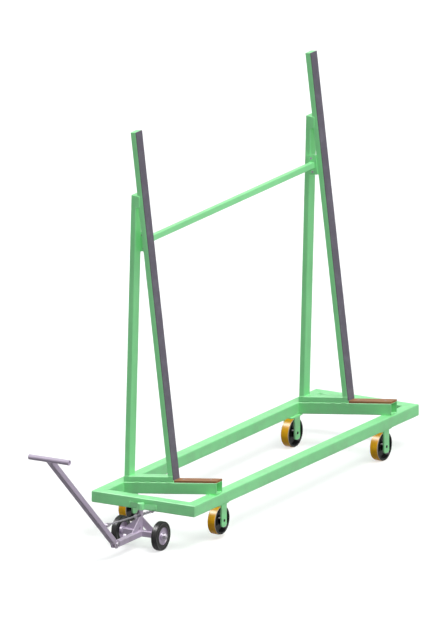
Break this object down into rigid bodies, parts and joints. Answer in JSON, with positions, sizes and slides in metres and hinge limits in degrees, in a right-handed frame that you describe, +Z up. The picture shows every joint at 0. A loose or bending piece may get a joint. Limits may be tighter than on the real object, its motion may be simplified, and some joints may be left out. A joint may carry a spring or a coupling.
{
  "type": "panel trolley",
  "caption": "Single-sided A-frame panel trolley on fixed castors, with sloping padded ledges, a leaning backrest and a steerable tow dolly with a sprung drawbar.",
  "frame": {"origin": "centre of the bounding box at floor level, in the pose of the picture", "axes": "+X along the base frame from the drawbar's handle to the far end, +Y from the loading side to the back, +Z up from the floor"},
  "size_m": [3.2099, 0.6, 2.0857],
  "materials": {
    "green_paint": "satin light green paint",
    "tow_paint": "satin grey violet paint",
    "wood": "planed and oiled",
    "rubber": "matt",
    "tread": "satin polyurethane",
    "wheel_core": "gloss",
    "tyre": "matt",
    "rim": "satin dark paint",
    "zinc": "zinc plated"
  },
  "bodies": {
    "rack": {"front_rail": "green_paint", "rear_rail": "green_paint", "tow_end_rail": "green_paint", "far_end_rail": "green_paint", "tow_foot_tube": "green_paint", "tow_foot_chord": "green_paint", "tow_leaning_post": "green_paint", "tow_rear_post": "green_paint", "tow_post_head": "green_paint", "tow_rubber_strip": "rubber", "tow_wood_batten": "wood", "tow_bar_flange": "green_paint", "far_foot_tube": "green_paint", "far_foot_chord": "green_paint", "far_leaning_post": "green_paint", "far_rear_post": "green_paint", "far_post_head": "green_paint", "far_rubber_strip": "rubber", "far_wood_batten": "wood", "far_bar_flange": "green_paint", "post_caps": "green_paint", "seat_plates": "green_paint", "flange_bolts": "zinc", "crossbar": "green_paint", "coupling_wings": "green_paint", "coupling_socket": "green_paint", "tow_front_fork": "green_paint", "tow_rear_fork": "green_paint", "far_front_fork": "green_paint", "far_rear_fork": "green_paint", "castor_axles": "zinc"},
    "castor_tow_front": {"tow_front_tread": "tread", "tow_front_core": "wheel_core"},
    "castor_tow_rear": {"tow_rear_tread": "tread", "tow_rear_core": "wheel_core"},
    "castor_far_front": {"far_front_tread": "tread", "far_front_core": "wheel_core"},
    "castor_far_rear": {"far_rear_tread": "tread", "far_rear_core": "wheel_core"},
    "dolly": {"axle_beam": "tow_paint", "stub_axles": "zinc", "axle_nuts": "zinc", "mast": "tow_paint", "thrust_washer": "zinc", "mast_braces": "tow_paint", "lower_arm": "tow_paint", "arm_tongue": "tow_paint"},
    "dolly_wheel_front": {"dolly_front_tyre": "tyre", "dolly_front_rim": "rim"},
    "dolly_wheel_rear": {"dolly_rear_tyre": "tyre", "dolly_rear_rim": "rim"},
    "drawbar": {"draw_bar": "tow_paint", "draw_bar_lugs": "tow_paint", "pivot_bolt": "zinc", "handle_bar": "tow_paint"},
    "stay": {"stay_rod": "zinc", "stay_clevis": "zinc", "stay_fittings": "zinc", "stay_buffer": "rubber", "stay_spring": "zinc"}
  },
  "joints": [
    {"name": "castor_tow_front_roll", "type": "hinge", "parent": "rack", "child": "castor_tow_front", "pos_m": [-0.34478, -0.26, 0.09659], "axis": [0, 1, 0], "continuous": true},
    {"name": "castor_tow_rear_roll", "type": "hinge", "parent": "rack", "child": "castor_tow_rear", "pos_m": [-0.34478, 0.26, 0.09659], "axis": [0, 1, 0], "continuous": true},
    {"name": "castor_far_front_roll", "type": "hinge", "parent": "rack", "child": "castor_far_front", "pos_m": [1.29108, -0.26, 0.075], "axis": [0, 1, 0], "continuous": true},
    {"name": "castor_far_rear_roll", "type": "hinge", "parent": "rack", "child": "castor_far_rear", "pos_m": [1.29108, 0.26, 0.075], "axis": [0, 1, 0], "continuous": true},
    {"name": "dolly_steer", "type": "hinge", "parent": "rack", "child": "dolly", "pos_m": [-0.67749, 0, 0.19599], "axis": [0.0132, 0, 0.9999], "range_deg": [-90, 90]},
    {"name": "dolly_wheel_front_roll", "type": "hinge", "parent": "dolly", "child": "dolly_wheel_front", "pos_m": [-0.67909, -0.1165, 0.075], "axis": [0, 1, 0], "continuous": true},
    {"name": "dolly_wheel_rear_roll", "type": "hinge", "parent": "dolly", "child": "dolly_wheel_rear", "pos_m": [-0.67909, 0.1165, 0.075], "axis": [0, 1, 0], "continuous": true},
    {"name": "drawbar_tilt", "type": "hinge", "parent": "dolly", "child": "drawbar", "pos_m": [-0.93903, 0, 0.08143], "axis": [0, -1, 0], "range_deg": [0, 35], "stiffness_Nm_per_rad": 10, "springref_deg": -85.94},
    {"name": "stay_swing", "type": "hinge", "parent": "drawbar", "child": "stay", "pos_m": [-1.02451, 0, 0.20058], "axis": [0, -1, 0], "range_deg": [-25, 0], "deforming": ["stay_spring"]}
  ],
  "couplings": [
    {"joint": "stay_swing", "follows": "drawbar_tilt", "ratio": -0.69264}
  ]
}
